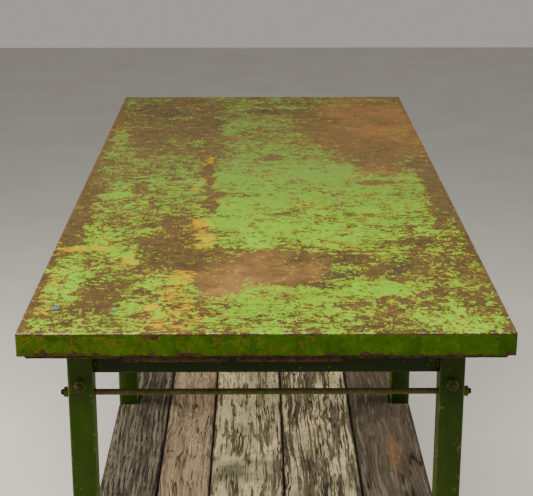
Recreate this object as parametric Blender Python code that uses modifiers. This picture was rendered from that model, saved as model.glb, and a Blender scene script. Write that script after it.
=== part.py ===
"""Potting bench: a sheet-steel worktop over five thick boards, on three welded
tube frames tied together by threaded rods, with a slatted lower shelf.

Frame of the part: +X across the bench, +Y along it, +Z up.  The origin is on
the floor, under the middle of the top.  All sizes are in metres.
"""
import math

import bmesh
import bpy
from mathutils import Vector

# ---------------------------------------------------------------- overall sizes
TOP_LENGTH = 1.800          # along Y
TOP_WIDTH = 0.760           # along X
TOP_HEIGHT = 0.860          # working surface above the floor
SIDE_OVERHANG = 0.069       # side of the top to the outer faces of the legs
END_INSET = 0.045           # edge of the top to the outer face of an end frame
MIDDLE_SETBACK = 0.760      # near edge of the top to the near face of the middle frame
SHELF_HEIGHT = 0.402        # upper face of the shelf above the floor

# ------------------------------------------------------------------ sheet top
SHEET_GAUGE = 0.002
LIP_HEIGHT = 0.038
SHEET_BEND = 0.0025         # outer radius of the folds

# ----------------------------------------------------------- boards under it
BOARD_WIDTHS = (0.1445, 0.1630, 0.1630, 0.1235, 0.1230)
BOARD_GAPS = (0.0040, 0.0100, 0.0030, 0.0030)
BOARD_THICKNESS = 0.042
THICK_BOARD_EXTRA = 0.006   # the second and third board are sawn this much thicker
THICK_BOARDS = (1, 2)
BOARD_SIDE_CLEARANCE = 0.0095
BOARD_END_CLEARANCE = 0.0025
BOARD_ARRIS = 0.0015
HOUSING_CLEARANCE = 0.002   # each side of a rail that a thick board is let over

# ------------------------------------------------------------- welded frames
LEG_SIZE = 0.040
LEG_WALL = 0.003
LEG_CORNER = 0.004
RAIL_HEIGHT = 0.045
RAIL_DEPTH = 0.025
RAIL_WALL = 0.0025
RAIL_CORNER = 0.003
RAIL_SETBACK = 0.014        # outer face of a leg back to the face of its cross rail

# ---------------------------------------------------------------- the shelf
PLANK_WIDTHS = (0.1070, 0.0960, 0.1370, 0.1425, 0.1275)
PLANK_GAP = 0.0003
PLANK_THICKNESS = 0.028
PLANK_ARRIS = 0.003
NOTCH_CLEARANCE = 0.003     # between a plank and the leg it is cut round

# ---------------------------------------------------------- rods and nuts
CROSS_ROD_DIAMETER = 0.010
CROSS_ROD_END = 0.005       # rod past the outer face of its nut
SIDE_ROD_DIAMETER = 0.010
SIDE_ROD_END = 0.006
SIDE_ROD_BELOW_RAIL = 0.0094  # under side of the rails down to the side rods
CROSS_ROD_BELOW_SIDE = 0.010  # under side of the side rods down to the cross rods
CROSS_NUT_FLATS = 0.016
CROSS_NUT_HEIGHT = 0.008
SIDE_NUT_FLATS = 0.016
SIDE_NUT_HEIGHT = 0.008
NUT_CHAMFER = 0.0006
SIDE_WASHER_DIAMETER = 0.020
SIDE_WASHER_THICKNESS = 0.0015

# ------------------------------------------------------------- named clearances
TOUCH = 0.0003              # between pieces that bear on each other
ROD_HOLE_CLEARANCE = 0.0005  # radial, round a rod where it passes through a leg
NUT_BORE_CLEARANCE = 0.0003  # radial, round a rod inside its nut or washer

# ----------------------------------------------------------- derived positions
NEAR_EDGE = -TOP_LENGTH / 2
FRAME_WIDTH = TOP_WIDTH - 2 * SIDE_OVERHANG
FRAME_Y = {
    "near": NEAR_EDGE + END_INSET + LEG_SIZE / 2,
    "middle": NEAR_EDGE + MIDDLE_SETBACK + LEG_SIZE / 2,
    "far": -NEAR_EDGE - END_INSET - LEG_SIZE / 2,
}
# the side of each frame that its cross rail is set back from
OUTWARD = {"near": -1, "middle": -1, "far": 1}
RAIL_Y = {frame: y + OUTWARD[frame] * (LEG_SIZE / 2 - RAIL_SETBACK - RAIL_DEPTH / 2)
          for frame, y in FRAME_Y.items()}
LEG_X = {"left": -(FRAME_WIDTH - LEG_SIZE) / 2, "right": (FRAME_WIDTH - LEG_SIZE) / 2}
INNER_X = FRAME_WIDTH / 2 - LEG_SIZE

BOARD_TOP = TOP_HEIGHT - SHEET_GAUGE - TOUCH
FRAME_TOP = BOARD_TOP - BOARD_THICKNESS - TOUCH
SHELF_UNDER = SHELF_HEIGHT - PLANK_THICKNESS
BEARER_TOP = SHELF_UNDER - TOUCH
RAIL_UNDER = FRAME_TOP - RAIL_HEIGHT
SIDE_ROD_Z = RAIL_UNDER - SIDE_ROD_BELOW_RAIL - SIDE_ROD_DIAMETER / 2
CROSS_ROD_Z = SIDE_ROD_Z - (SIDE_ROD_DIAMETER + CROSS_ROD_DIAMETER) / 2 - CROSS_ROD_BELOW_SIDE

# --------------------------------------------------------------- materials
GREEN_TOP = (0.165, 0.335, 0.060)
GREEN_LEG = (0.085, 0.200, 0.035)
BOARD_BROWN = (0.160, 0.115, 0.085)
GALVANISED = (0.230, 0.230, 0.150)
PLANK_COLOURS = ((0.30, 0.25, 0.20), (0.34, 0.26, 0.21), (0.46, 0.43, 0.35),
                 (0.40, 0.37, 0.31), (0.26, 0.21, 0.17))

# --------------------------------------------------------------- facets round
HEX_SIDES = 6
BORE_SIDES = 24
WASHER_SIDES = 32
CORNER_STEPS = 3            # flats in the rounding of a tube's corner or a fold


def clear_scene():
    for obj in list(bpy.data.objects):
        bpy.data.objects.remove(obj, do_unlink=True)


def new_collection(name):
    collection = bpy.data.collections.new(name)
    bpy.context.scene.collection.children.link(collection)
    return collection


def add_material(obj, colour, roughness, metallic):
    material = bpy.data.materials.new(obj.name)
    material.use_nodes = True
    shader = material.node_tree.nodes["Principled BSDF"]
    shader.inputs["Base Color"].default_value = (*colour, 1.0)
    shader.inputs["Roughness"].default_value = roughness
    shader.inputs["Metallic"].default_value = metallic
    material.diffuse_color = (*colour, 1.0)
    obj.data.materials.append(material)


def mesh_object(name, bm, collection, location=(0, 0, 0)):
    mesh = bpy.data.meshes.new(name)
    bm.to_mesh(mesh)
    bm.free()
    obj = bpy.data.objects.new(name, mesh)
    obj.location = location
    collection.objects.link(obj)
    return obj


def add_bevel(obj, width, segments=2, angle=math.radians(40)):
    bevel = obj.modifiers.new("Bevel", "BEVEL")
    bevel.width = width
    bevel.segments = segments
    bevel.limit_method = "ANGLE"
    bevel.angle_limit = angle
    return bevel


def cut(obj, cutter):
    boolean = obj.modifiers.new("Cut", "BOOLEAN")
    boolean.operation = "DIFFERENCE"
    boolean.solver = "EXACT"
    boolean.object = cutter
    cutter.hide_render = True
    cutter.display_type = "WIRE"


def block(name, centre, size, collection):
    """A solid box, its size already applied."""
    bm = bmesh.new()
    bmesh.ops.create_cube(bm, size=1.0)
    bmesh.ops.scale(bm, vec=Vector(size), verts=bm.verts)
    return mesh_object(name, bm, collection, centre)


def square_tube(name, centre, length, width, height, wall, corner, axis, collection):
    """An open-ended box section: four rounded walls given their gauge by Solidify."""
    bm = bmesh.new()
    bmesh.ops.create_cube(bm, size=1.0)
    ends = [f for f in bm.faces if abs(f.normal.z) > 0.9]
    bmesh.ops.delete(bm, geom=ends, context="FACES_ONLY")
    bmesh.ops.scale(bm, vec=Vector((width, height, length)), verts=bm.verts)
    corners = [e for e in bm.edges if len(e.link_faces) == 2]
    bmesh.ops.bevel(bm, geom=corners, offset=corner, offset_type="OFFSET",
                    segments=CORNER_STEPS, profile=0.5, affect="EDGES")
    obj = mesh_object(name, bm, collection, centre)
    if axis == "X":
        obj.rotation_euler = (math.radians(90), 0, math.radians(90))
    elif axis == "Y":
        obj.rotation_euler = (math.radians(-90), 0, 0)
    shell = obj.modifiers.new("Wall", "SOLIDIFY")
    shell.thickness = wall
    shell.offset = -1.0
    shell.use_even_offset = True
    return obj


def round_bar(name, start, end, diameter, collection):
    """A straight rod: a poly curve with a round bevel and closed ends."""
    curve = bpy.data.curves.new(name, "CURVE")
    curve.dimensions = "3D"
    curve.bevel_depth = diameter / 2
    curve.bevel_resolution = 4
    curve.use_fill_caps = True
    spline = curve.splines.new("POLY")
    spline.points.add(1)
    spline.points[0].co = (*start, 1.0)
    spline.points[1].co = (*end, 1.0)
    spline.use_smooth = True
    obj = bpy.data.objects.new(name, curve)
    collection.objects.link(obj)
    return obj


def cylinder(name, centre, diameter, length, axis, segments, collection):
    bm = bmesh.new()
    bmesh.ops.create_cone(bm, cap_ends=True, segments=segments,
                          radius1=diameter / 2, radius2=diameter / 2, depth=length)
    obj = mesh_object(name, bm, collection, centre)
    if axis == "X":
        obj.rotation_euler = (0, math.radians(90), 0)
    elif axis == "Y":
        obj.rotation_euler = (math.radians(90), 0, 0)
    return obj


def hex_nut(name, centre, flats, height, rod_diameter, axis, collection, cutters):
    across_corners = flats / math.cos(math.radians(30))
    nut = cylinder(name, centre, across_corners, height, axis, HEX_SIDES, collection)
    bore = cylinder(name + "_bore", centre, rod_diameter + 2 * NUT_BORE_CLEARANCE,
                    3 * height, axis, BORE_SIDES, cutters)
    # only the edges of the two faces are steep enough to be chamfered
    add_bevel(nut, NUT_CHAMFER, 1, math.radians(70))
    cut(nut, bore)
    return nut


def flat_washer(name, centre, diameter, thickness, rod_diameter, axis, collection, cutters):
    washer = cylinder(name, centre, diameter, thickness, axis, WASHER_SIDES, collection)
    bore = cylinder(name + "_bore", centre, rod_diameter + 2 * NUT_BORE_CLEARANCE,
                    6 * thickness, axis, BORE_SIDES, cutters)
    cut(washer, bore)
    return washer


def fitted(widths, gaps, available):
    """Left edges and widths of pieces laid side by side so that they fill a space."""
    scale = (available - sum(gaps)) / sum(widths)
    edges = []
    x = -available / 2
    for index, width in enumerate(widths):
        edges.append((x, x + width * scale))
        x += width * scale
        if index < len(gaps):
            x += gaps[index]
    return edges


# ------------------------------------------------------------------ the pieces
def build_top_sheet(parts):
    """A folded tray, open below: one flat face and four turned-down lips."""
    bm = bmesh.new()
    bmesh.ops.create_cube(bm, size=1.0)
    under = [f for f in bm.faces if f.normal.z < -0.9]
    bmesh.ops.delete(bm, geom=under, context="FACES_ONLY")
    bmesh.ops.scale(bm, vec=Vector((TOP_WIDTH, TOP_LENGTH, LIP_HEIGHT)), verts=bm.verts)
    folds = [e for e in bm.edges if len(e.link_faces) == 2]
    bmesh.ops.bevel(bm, geom=folds, offset=SHEET_BEND, offset_type="OFFSET",
                    segments=CORNER_STEPS, profile=0.5, affect="EDGES")
    sheet = mesh_object("top_sheet", bm, parts, (0, 0, TOP_HEIGHT - LIP_HEIGHT / 2))
    shell = sheet.modifiers.new("Gauge", "SOLIDIFY")
    shell.thickness = SHEET_GAUGE
    shell.offset = -1.0
    shell.use_even_offset = True
    add_material(sheet, GREEN_TOP, 0.55, 0.1)


def build_boards(parts, cutters):
    inner_width = TOP_WIDTH - 2 * SHEET_GAUGE - 2 * BOARD_SIDE_CLEARANCE
    length = TOP_LENGTH - 2 * SHEET_GAUGE - 2 * BOARD_END_CLEARANCE
    edges = fitted(BOARD_WIDTHS, BOARD_GAPS, inner_width)
    for index, (x0, x1) in enumerate(edges):
        thick = BOARD_THICKNESS
        if index in THICK_BOARDS:
            thick += THICK_BOARD_EXTRA
        board = block("top_board_%d" % (index + 1),
                      ((x0 + x1) / 2, 0, BOARD_TOP - thick / 2),
                      (x1 - x0, length, thick), parts)
        add_bevel(board, BOARD_ARRIS, 1)
        if index in THICK_BOARDS:
            # a thick board is housed over each cross rail, so its neighbours lie level
            for frame, rail_y in RAIL_Y.items():
                housing = block("%s_housing_%s" % (board.name, frame),
                                ((x0 + x1) / 2, rail_y, FRAME_TOP - THICK_BOARD_EXTRA),
                                ((x1 - x0) * 2, RAIL_DEPTH + 2 * HOUSING_CLEARANCE,
                                 2 * THICK_BOARD_EXTRA + 2 * TOUCH), cutters)
                cut(board, housing)
        add_material(board, BOARD_BROWN, 0.85, 0.0)


def build_legs(parts, cutters):
    for frame, y in FRAME_Y.items():
        for side, x in LEG_X.items():
            name = "leg_%s_%s" % (frame, side)
            leg = square_tube(name, (x, y, FRAME_TOP / 2), FRAME_TOP, LEG_SIZE, LEG_SIZE,
                              LEG_WALL, LEG_CORNER, "Z", parts)
            cross_hole = cylinder(name + "_cross_hole", (x, y, CROSS_ROD_Z),
                                  CROSS_ROD_DIAMETER + 2 * ROD_HOLE_CLEARANCE,
                                  2 * LEG_SIZE, "X", BORE_SIDES, cutters)
            side_hole = cylinder(name + "_side_hole", (x, y, SIDE_ROD_Z),
                                 SIDE_ROD_DIAMETER + 2 * ROD_HOLE_CLEARANCE,
                                 2 * LEG_SIZE, "Y", BORE_SIDES, cutters)
            cut(leg, cross_hole)
            cut(leg, side_hole)
            add_material(leg, GREEN_LEG, 0.5, 0.1)


def build_rails(parts):
    span = 2 * INNER_X - 2 * TOUCH
    for frame, rail_y in RAIL_Y.items():
        rail = square_tube("cross_rail_" + frame, (0, rail_y, RAIL_UNDER + RAIL_HEIGHT / 2),
                           span, RAIL_DEPTH, RAIL_HEIGHT, RAIL_WALL, RAIL_CORNER, "X", parts)
        add_material(rail, GREEN_LEG, 0.5, 0.1)
        bearer = square_tube("shelf_bearer_" + frame,
                             (0, rail_y, BEARER_TOP - RAIL_HEIGHT / 2),
                             span, RAIL_DEPTH, RAIL_HEIGHT, RAIL_WALL, RAIL_CORNER, "X", parts)
        add_material(bearer, GREEN_LEG, 0.5, 0.1)
    bays = (("near", "middle"), ("middle", "far"))
    for start, end in bays:
        y0 = FRAME_Y[start] + LEG_SIZE / 2 + TOUCH
        y1 = FRAME_Y[end] - LEG_SIZE / 2 - TOUCH
        for side, x in LEG_X.items():
            name = "side_rail_%s_%s" % ("near" if start == "near" else "far", side)
            rail = square_tube(name, (x, (y0 + y1) / 2, RAIL_UNDER + RAIL_HEIGHT / 2),
                               y1 - y0, RAIL_DEPTH, RAIL_HEIGHT, RAIL_WALL, RAIL_CORNER,
                               "Y", parts)
            add_material(rail, GREEN_LEG, 0.5, 0.1)


def build_shelf(parts, cutters):
    y0 = FRAME_Y["near"] - LEG_SIZE / 2
    y1 = FRAME_Y["far"] + LEG_SIZE / 2
    gaps = (PLANK_GAP,) * (len(PLANK_WIDTHS) - 1)
    edges = fitted(PLANK_WIDTHS, gaps, FRAME_WIDTH)
    for index, (x0, x1) in enumerate(edges):
        plank = block("shelf_plank_%d" % (index + 1),
                      ((x0 + x1) / 2, (y0 + y1) / 2, SHELF_HEIGHT - PLANK_THICKNESS / 2),
                      (x1 - x0, y1 - y0, PLANK_THICKNESS), parts)
        add_bevel(plank, PLANK_ARRIS, 1)
        # the first and the last plank are notched round the legs
        side = {0: "left", len(edges) - 1: "right"}.get(index)
        if side is not None:
            for frame, y in FRAME_Y.items():
                notch = block("%s_notch_%s" % (plank.name, frame),
                              (LEG_X[side], y, SHELF_HEIGHT - PLANK_THICKNESS / 2),
                              (LEG_SIZE + 2 * NOTCH_CLEARANCE, LEG_SIZE + 2 * NOTCH_CLEARANCE,
                               3 * PLANK_THICKNESS), cutters)
                cut(plank, notch)
        add_material(plank, PLANK_COLOURS[index], 0.85, 0.0)


def build_cross_rods(parts, cutters):
    face = FRAME_WIDTH / 2
    end = face + TOUCH + CROSS_NUT_HEIGHT + CROSS_ROD_END
    for frame, y in FRAME_Y.items():
        rod = round_bar("cross_rod_" + frame, (-end, y, CROSS_ROD_Z), (end, y, CROSS_ROD_Z),
                        CROSS_ROD_DIAMETER, parts)
        add_material(rod, GALVANISED, 0.45, 0.8)
        for side, sign in (("left", -1), ("right", 1)):
            x = sign * (face + TOUCH + CROSS_NUT_HEIGHT / 2)
            nut = hex_nut("cross_nut_%s_%s" % (frame, side), (x, y, CROSS_ROD_Z),
                          CROSS_NUT_FLATS, CROSS_NUT_HEIGHT, CROSS_ROD_DIAMETER, "X",
                          parts, cutters)
            add_material(nut, GALVANISED, 0.45, 0.8)


def build_side_rods(parts, cutters):
    stack = TOUCH + SIDE_WASHER_THICKNESS + TOUCH + SIDE_NUT_HEIGHT
    near_face = FRAME_Y["near"] - LEG_SIZE / 2
    far_face = FRAME_Y["far"] + LEG_SIZE / 2
    for side, x in LEG_X.items():
        rod = round_bar("side_rod_" + side,
                        (x, near_face - stack - SIDE_ROD_END, SIDE_ROD_Z),
                        (x, far_face + stack + SIDE_ROD_END, SIDE_ROD_Z),
                        SIDE_ROD_DIAMETER, parts)
        add_material(rod, GALVANISED, 0.45, 0.8)
        for frame, face, sign in (("near", near_face, -1), ("far", far_face, 1)):
            washer_y = face + sign * (TOUCH + SIDE_WASHER_THICKNESS / 2)
            washer = flat_washer("side_washer_%s_%s" % (frame, side), (x, washer_y, SIDE_ROD_Z),
                                 SIDE_WASHER_DIAMETER, SIDE_WASHER_THICKNESS,
                                 SIDE_ROD_DIAMETER, "Y", parts, cutters)
            add_material(washer, GREEN_LEG, 0.5, 0.3)
            nut_y = face + sign * (stack - SIDE_NUT_HEIGHT / 2)
            nut = hex_nut("side_nut_%s_%s" % (frame, side), (x, nut_y, SIDE_ROD_Z),
                          SIDE_NUT_FLATS, SIDE_NUT_HEIGHT, SIDE_ROD_DIAMETER, "Y",
                          parts, cutters)
            add_material(nut, GALVANISED, 0.45, 0.6)


def main():
    clear_scene()
    parts = new_collection("potting_bench")
    cutters = new_collection("cutters")
    build_top_sheet(parts)
    build_boards(parts, cutters)
    build_legs(parts, cutters)
    build_rails(parts)
    build_shelf(parts, cutters)
    build_cross_rods(parts, cutters)
    build_side_rods(parts, cutters)
    print(len(parts.objects), "pieces")


main()
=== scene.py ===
"""Looks of the potting bench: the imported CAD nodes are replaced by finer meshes
with worn paint, rust, raised grain and threads.  Metres, +Z up, +X across the
bench, +Y along it, the near end at -Y.
"""
import math

import bmesh
import bpy
import numpy as np
from mathutils import Matrix, Vector


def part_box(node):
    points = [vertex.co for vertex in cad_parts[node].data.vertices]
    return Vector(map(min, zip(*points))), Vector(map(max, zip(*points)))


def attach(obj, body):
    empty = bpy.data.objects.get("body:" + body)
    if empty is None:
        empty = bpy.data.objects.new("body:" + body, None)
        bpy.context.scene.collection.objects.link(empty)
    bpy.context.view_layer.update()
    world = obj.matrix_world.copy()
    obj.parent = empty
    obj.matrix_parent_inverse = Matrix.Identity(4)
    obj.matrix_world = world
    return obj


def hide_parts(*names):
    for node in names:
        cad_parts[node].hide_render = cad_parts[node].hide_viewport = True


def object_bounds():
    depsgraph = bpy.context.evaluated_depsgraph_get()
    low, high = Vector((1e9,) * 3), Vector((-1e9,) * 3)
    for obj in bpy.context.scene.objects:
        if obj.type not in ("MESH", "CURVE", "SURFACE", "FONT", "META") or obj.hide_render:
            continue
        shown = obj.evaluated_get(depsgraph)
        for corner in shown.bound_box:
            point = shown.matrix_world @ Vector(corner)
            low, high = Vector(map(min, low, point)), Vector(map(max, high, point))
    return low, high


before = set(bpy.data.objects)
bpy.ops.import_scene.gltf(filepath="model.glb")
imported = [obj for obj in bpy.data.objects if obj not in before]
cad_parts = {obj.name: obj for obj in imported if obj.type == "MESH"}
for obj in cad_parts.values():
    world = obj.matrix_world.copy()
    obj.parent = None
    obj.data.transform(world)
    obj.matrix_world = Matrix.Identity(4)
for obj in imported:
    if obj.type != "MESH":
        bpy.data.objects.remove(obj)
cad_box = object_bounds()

BODY = "root"
FRAMES = ("near", "middle", "far")
SIDES = ("left", "right")
AXES = {"X": (1, 2, 0), "Y": (2, 0, 1), "Z": (0, 1, 2)}    # two across a piece, one along it
TURN = 2 * math.pi

# ---------------------------------------------------------- sizes, in metres
TOP_Z = cad_box[1][2]
SHEET_FOLD = 0.0025          # outer radius of the folds
SHEET_GAUGE = 0.002
SHEET_CELL = 0.005           # grid on the flat field
PLANK_RADIUS = 0.003         # rounding along a plank's long edges
PLANK_END = 0.0022           # how far the rounding of its ends reaches
NOTCH_CLEARANCE = 0.003
LEG_WALL = 0.003
LEG_CORNER = 0.004
RAIL_WALL = 0.0025
RAIL_CORNER = 0.003
ROD_HOLE = 0.0055            # radius of the holes in the legs
ROD_HOLE_CUT = 0.09          # longer than a leg is wide
NUT_BORE = 0.0053            # radius of the hole in a nut or washer
THREAD_LENGTH = 0.030
THREAD_PITCH = 0.0015

# where each kind of piece starts its numbers for the noise
PLANK_SEED = 40
BOARD_SEED = 140
LEG_SEED = 500
RAIL_SEED = 600
SIDE_RAIL_SEED = 700

# ------------------------------------------------- colours, in linear light
TOP_GREEN = (0.205, 0.475, 0.004)
TOP_GREEN_DEEP = (0.155, 0.365, 0.001)
TOP_GREEN_THIN = (0.370, 0.490, 0.006)
TOP_GREEN_DIRTY = (0.130, 0.230, 0.006)
TOP_GREEN_SHEENED = (0.150, 0.268, 0.040)
TEAL = (0.120, 0.260, 0.070)
RUST = (0.092, 0.064, 0.020)
RUST_DEEP = (0.041, 0.028, 0.010)
RUST_SHEENED = (0.135, 0.094, 0.038)
RUST_DEEP_SHEENED = (0.068, 0.047, 0.020)
RUST_DUST = (0.210, 0.150, 0.060)
ORANGE = (0.270, 0.135, 0.042)
ORANGE_DEEP = (0.190, 0.098, 0.034)
NEAR_BLACK = (0.048, 0.040, 0.021)
YELLOW = (0.500, 0.310, 0.0001)
YELLOW_DULL = (0.380, 0.225, 0.0002)
FRINGE = (0.370, 0.400, 0.006)
BLUE = (0.025, 0.150, 0.380)
LIP_GREEN = (0.042, 0.098, 0.0008)
LIP_GREEN_DEEP = (0.020, 0.056, 0.0003)
LIP_BRIGHT = (0.056, 0.122, 0.002)
LIP_FADED = (0.100, 0.135, 0.009)
LIP_YELLOW = (0.300, 0.190, 0.004)
LIP_RUST = (0.095, 0.054, 0.018)
LIP_RUST_DEEP = (0.030, 0.016, 0.006)
BARE_METAL_AND_GLINT = (0.620, 0.560, 0.420)
FRAME_GREEN = (0.031, 0.073, 0.0004)
FRAME_GREEN_DEEP = (0.017, 0.044, 0.0003)
FRAME_WORN = (0.062, 0.076, 0.004)
FRAME_GRIME_AND_SHADE = (0.008, 0.018, 0.0005)
FRAME_CHIP_EDGE_AND_GLINT = (0.200, 0.170, 0.030)
FRAME_RUST = (0.220, 0.095, 0.018)
FRAME_RUST_DEEP = (0.040, 0.022, 0.008)
FRAME_DUST = (0.066, 0.070, 0.014)
ROD_RUST = (0.190, 0.122, 0.060)
ROD_RUST_DEEP = (0.090, 0.056, 0.022)
ROD_GREEN = (0.105, 0.120, 0.018)
ROD_GREEN_DEEP = (0.054, 0.062, 0.007)
ROD_BARE = (0.200, 0.180, 0.130)
THREAD = (0.022, 0.025, 0.006)
WOOD_DIRT = (0.050, 0.040, 0.026)
WOOD_CRACK = (0.016, 0.011, 0.007)
PALE_FLECK = (0.480, 0.420, 0.280)
OLD_PAINT_GREY = (0.230, 0.220, 0.130)
OLD_PAINT_MOSS = (0.150, 0.145, 0.070)

BLUE_SPOTS = (((-0.335, -0.785, TOP_Z), 0.0055), ((-0.240, -0.800, TOP_Z), 0.0036))
TEAL_SPOT = ((0.150, -0.150, TOP_Z), 0.020)


# ------------------------------------------------------------------ numpy noise
def lattice(ix, iy, seed):
    """A repeatable pseudo-random value from 0 to 1 at each whole-number point."""
    h = (ix.astype(np.int64) * 374761393 + iy.astype(np.int64) * 668265263
         + np.int64(seed) * 974634777)
    h = (h ^ (h >> 13)) * 1274126177
    h = h ^ (h >> 16)
    return (h & 0xFFFFFF).astype(np.float64) / float(0xFFFFFF)


def value_noise(x, y, seed):
    """Smooth noise from 0 to 1 with one bump per unit."""
    ix = np.floor(x)
    iy = np.floor(y)
    fx = x - ix
    fy = y - iy
    sx = fx * fx * fx * (fx * (fx * 6 - 15) + 10)
    sy = fy * fy * fy * (fy * (fy * 6 - 15) + 10)
    a = lattice(ix, iy, seed)
    b = lattice(ix + 1, iy, seed)
    c = lattice(ix, iy + 1, seed)
    d = lattice(ix + 1, iy + 1, seed)
    return (a + (b - a) * sx) * (1 - sy) + (c + (d - c) * sx) * sy


def fractal(x, y, seed, octaves=4, gain=0.5):
    """Several octaves of value noise, centred on zero, about -0.5 to 0.5."""
    total = np.zeros_like(np.asarray(x, dtype=float))
    size = 0.0
    weight = 1.0
    for octave in range(octaves):
        step = 2.0 ** octave
        total += weight * (value_noise(x * step, y * step, seed + octave) - 0.5)
        size += weight
        weight *= gain
    return total / size


def smoothstep(low, high, value):
    t = np.clip((value - low) / (high - low), 0.0, 1.0)
    return t * t * (3 - 2 * t)


# ------------------------------------------------------------------ node helper
class Material:
    """A Principled material and short calls for the nodes that feed it."""

    def __init__(self, name):
        self.material = bpy.data.materials.new(name)
        self.material.use_nodes = True
        self.tree = self.material.node_tree
        self.shader = self.tree.nodes["Principled BSDF"]
        self.position = self.node("ShaderNodeTexCoord").outputs["Object"]

    def node(self, kind, **settings):
        node = self.tree.nodes.new(kind)
        for key, value in settings.items():
            setattr(node, key, value)
        return node

    def feed(self, socket, value):
        """Link a socket to a socket, or set it to a number or a colour."""
        if isinstance(value, bpy.types.NodeSocket):
            self.tree.links.new(value, socket)
        elif isinstance(value, (tuple, list)) and len(value) == 3 and socket.type == "RGBA":
            socket.default_value = (*value, 1.0)
        else:
            socket.default_value = value

    def math(self, operation, a, b=0.0):
        node = self.node("ShaderNodeMath", operation=operation)
        self.feed(node.inputs[0], a)
        self.feed(node.inputs[1], b)
        return node.outputs[0]

    def add(self, a, b):
        return self.math("ADD", a, b)

    def sub(self, a, b):
        return self.math("SUBTRACT", a, b)

    def mul(self, a, b):
        return self.math("MULTIPLY", a, b)

    def weighted(self, *terms):
        """The sum of some values, each given with its weight."""
        total = self.mul(*terms[0])
        for term in terms[1:]:
            total = self.add(total, self.mul(*term))
        return total

    def step(self, value, low, high):
        """0 at low, 1 at high, smooth between; falls where low is the larger."""
        node = self.node("ShaderNodeMapRange", interpolation_type="SMOOTHSTEP")
        self.feed(node.inputs["Value"], value)
        node.inputs["From Min"].default_value = low
        node.inputs["From Max"].default_value = high
        return node.outputs["Result"]

    def remap(self, value, low, high, to_low=0.0, to_high=1.0):
        node = self.node("ShaderNodeMapRange")
        self.feed(node.inputs["Value"], value)
        node.inputs["From Min"].default_value = low
        node.inputs["From Max"].default_value = high
        node.inputs["To Min"].default_value = to_low
        node.inputs["To Max"].default_value = to_high
        return node.outputs["Result"]

    def mix(self, factor, a, b):
        node = self.node("ShaderNodeMix", data_type="RGBA")
        self.feed(node.inputs["Factor"], factor)
        self.feed(node.inputs[6], a)
        self.feed(node.inputs[7], b)
        return node.outputs[2]

    def lay(self, base, mask, share, colour):
        """A colour laid over a base where the mask is 1, as strongly as the share says."""
        return self.mix(self.mul(mask, share), base, colour)

    def attribute(self, name):
        return self.node("ShaderNodeAttribute", attribute_name=name).outputs["Fac"]

    def vector(self, operation, a, b=(0.0, 0.0, 0.0)):
        node = self.node("ShaderNodeVectorMath", operation=operation)
        self.feed(node.inputs[0], a)
        self.feed(node.inputs[1], b)
        return node.outputs["Value" if operation in ("DISTANCE", "LENGTH") else "Vector"]

    def place(self, scale=(1, 1, 1), location=(0, 0, 0), source=None):
        node = self.node("ShaderNodeMapping")
        self.feed(node.inputs["Vector"], source or self.position)
        node.inputs["Scale"].default_value = scale
        node.inputs["Location"].default_value = location
        return node.outputs["Vector"]

    def along(self, stretch, source):
        """Coordinates drawn out along Y."""
        return self.place((1.0, stretch, 1.0), source=source)

    def noise(self, scale, detail=6.0, roughness=0.55, distortion=0.0, vector=None):
        node = self.node("ShaderNodeTexNoise")
        self.feed(node.inputs["Vector"], vector or self.position)
        node.inputs["Scale"].default_value = scale
        node.inputs["Detail"].default_value = detail
        node.inputs["Roughness"].default_value = roughness
        node.inputs["Distortion"].default_value = distortion
        return node.outputs["Fac"]

    def noise_vector(self, scale, amount, source=None):
        """The coordinates, pushed about by a noise of the given size."""
        base = source or self.position
        node = self.node("ShaderNodeTexNoise")
        self.feed(node.inputs["Vector"], base)
        node.inputs["Scale"].default_value = scale
        node.inputs["Detail"].default_value = 3.0
        scaled = self.node("ShaderNodeVectorMath", operation="SCALE")
        self.feed(scaled.inputs[0], self.vector("SUBTRACT", node.outputs["Color"], (0.5, 0.5, 0.5)))
        scaled.inputs["Scale"].default_value = amount
        return self.vector("ADD", base, scaled.outputs[0])

    def separate(self, vector, axis):
        node = self.node("ShaderNodeSeparateXYZ")
        self.feed(node.inputs[0], vector)
        return node.outputs[axis]

    def veins(self, scale, width, stretch, detail=5.0, distortion=0.8):
        """1 along thin wandering lines, where a noise crosses its middle value."""
        field = self.noise(scale, detail, 0.6, distortion, self.place(stretch))
        away = self.math("ABSOLUTE", self.sub(field, 0.5))
        return self.step(away, width, width * 0.25)

    def contour(self, scale, width, vector):
        """1 along the contour lines of a noise laid on the given coordinates."""
        field = self.noise(scale, 3.0, 0.5, 0.0, vector)
        ripple = self.math("FRACT", self.mul(field, 7.0))
        away = self.math("ABSOLUTE", self.sub(ripple, 0.5))
        return self.step(away, width * 3.0, width)

    def spot(self, centre, radius, raggedness=0.25):
        """1 inside a ragged round spot."""
        pushed = self.noise_vector(120.0, radius * raggedness * 4)
        return self.math("LESS_THAN", self.vector("DISTANCE", pushed, centre), radius)

    def bump(self, height, strength):
        """A normal from a height in metres."""
        node = self.node("ShaderNodeBump")
        self.feed(node.inputs["Height"], height)
        node.inputs["Distance"].default_value = 1.0
        node.inputs["Strength"].default_value = strength
        return node.outputs["Normal"]

    def finish(self, colour, roughness, normal=None, metallic=0.0, specular=0.3):
        self.feed(self.shader.inputs["Base Color"], colour)
        self.feed(self.shader.inputs["Roughness"], roughness)
        self.feed(self.shader.inputs["Metallic"], metallic)
        self.shader.inputs["Specular IOR Level"].default_value = specular
        if normal is not None:
            self.feed(self.shader.inputs["Normal"], normal)
        return self.material


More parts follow.
